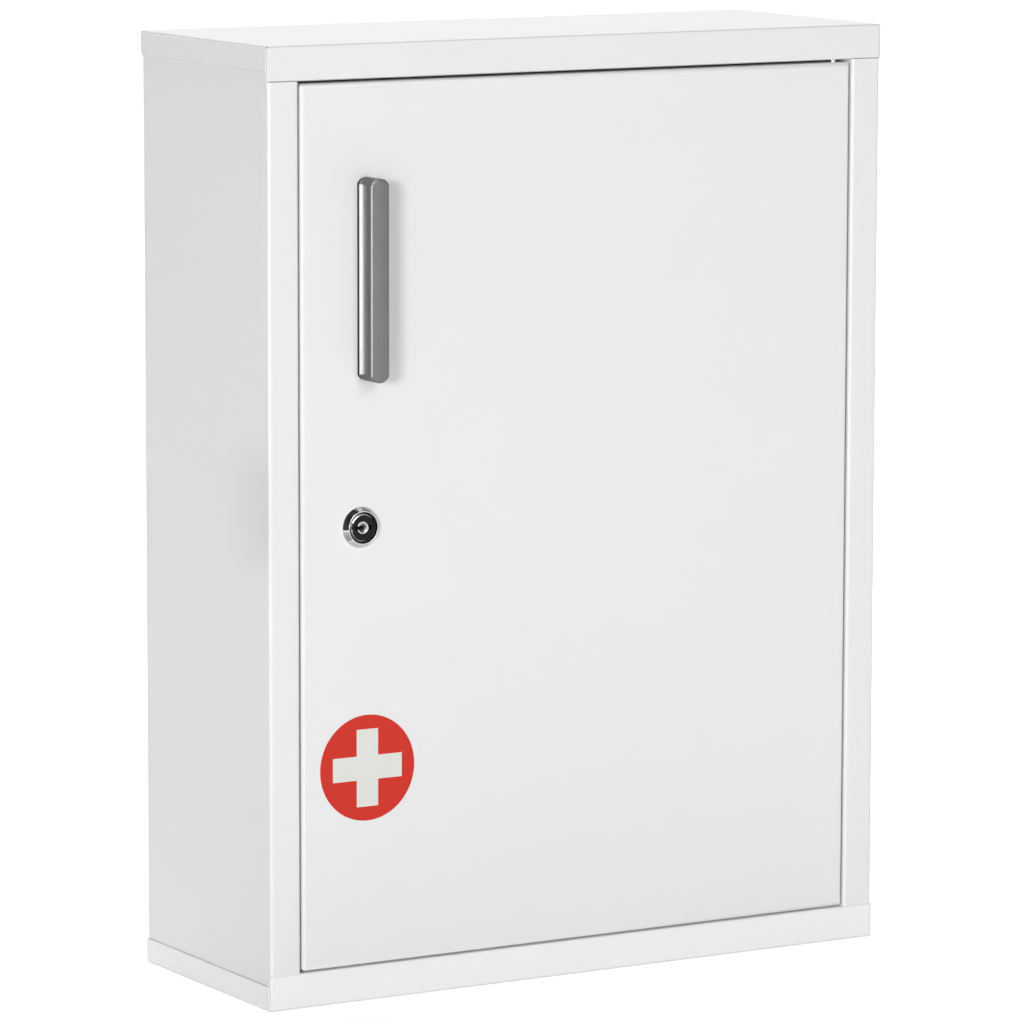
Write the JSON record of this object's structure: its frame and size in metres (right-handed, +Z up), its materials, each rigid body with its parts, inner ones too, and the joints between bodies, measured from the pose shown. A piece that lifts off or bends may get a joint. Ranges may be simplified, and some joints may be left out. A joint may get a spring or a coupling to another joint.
{
  "type": "wall medicine cabinet",
  "caption": "Lockable sheet-steel wall medicine cabinet with a hinged door, pull handle, cam lock, first-aid sign and fixed shelves.",
  "frame": {"origin": "middle of the base's underside", "axes": "+Z up, the door faces -Y and the wall side faces +Y, +X to the right when facing the door"},
  "size_m": [0.344, 0.1443, 0.46],
  "materials": {
    "white_paint": "smooth semi-gloss powder coat",
    "handle_metal": "satin grey",
    "bright_chrome": "polished",
    "dark_chrome": "dark polished",
    "zinc": "zinc plated",
    "nylon": "natural nylon",
    "rubber": "matt",
    "sign_red": "vinyl film",
    "sign_white": "vinyl film"
  },
  "bodies": {
    "cabinet": {"top_cap": "white_paint", "bottom_cap": "white_paint", "left_side_panel": "white_paint", "right_side_panel": "white_paint", "back_panel": "white_paint", "lower_shelf": "white_paint", "upper_shelf": "white_paint", "lower_shelf_rails": "white_paint", "upper_shelf_rails": "white_paint", "shelf_rivets": "zinc", "upper_hinge_bush": "nylon", "lower_hinge_bush": "nylon", "door_buffers": "rubber"},
    "door": {"door_panel": "white_paint", "door_stiffener": "white_paint", "upper_hinge_bracket": "zinc", "lower_hinge_bracket": "zinc", "upper_hinge_pin": "zinc", "lower_hinge_pin": "zinc", "door_handle": "handle_metal", "handle_screws": "zinc", "lock_housing": "bright_chrome", "lock_washer": "zinc", "lock_nut": "zinc", "sign_disc": "sign_red", "sign_cross": "sign_white"},
    "lock_core": {"lock_cylinder": "dark_chrome", "keyway_guides": "bright_chrome", "cam_stop_plate": "zinc", "lock_cam": "zinc", "cam_washer": "zinc", "cam_screw": "zinc"}
  },
  "joints": [
    {"name": "door_hinge", "type": "hinge", "parent": "cabinet", "child": "door", "pos_m": [0.1466, -0.0602, 0.23], "axis": [0, 0, 1], "range_deg": [0, 115]},
    {"name": "lock_turn", "type": "hinge", "parent": "door", "child": "lock_core", "pos_m": [-0.1222, -0.065, 0.2302], "axis": [0, 1, 0], "range_deg": [0, 90]}
  ]
}
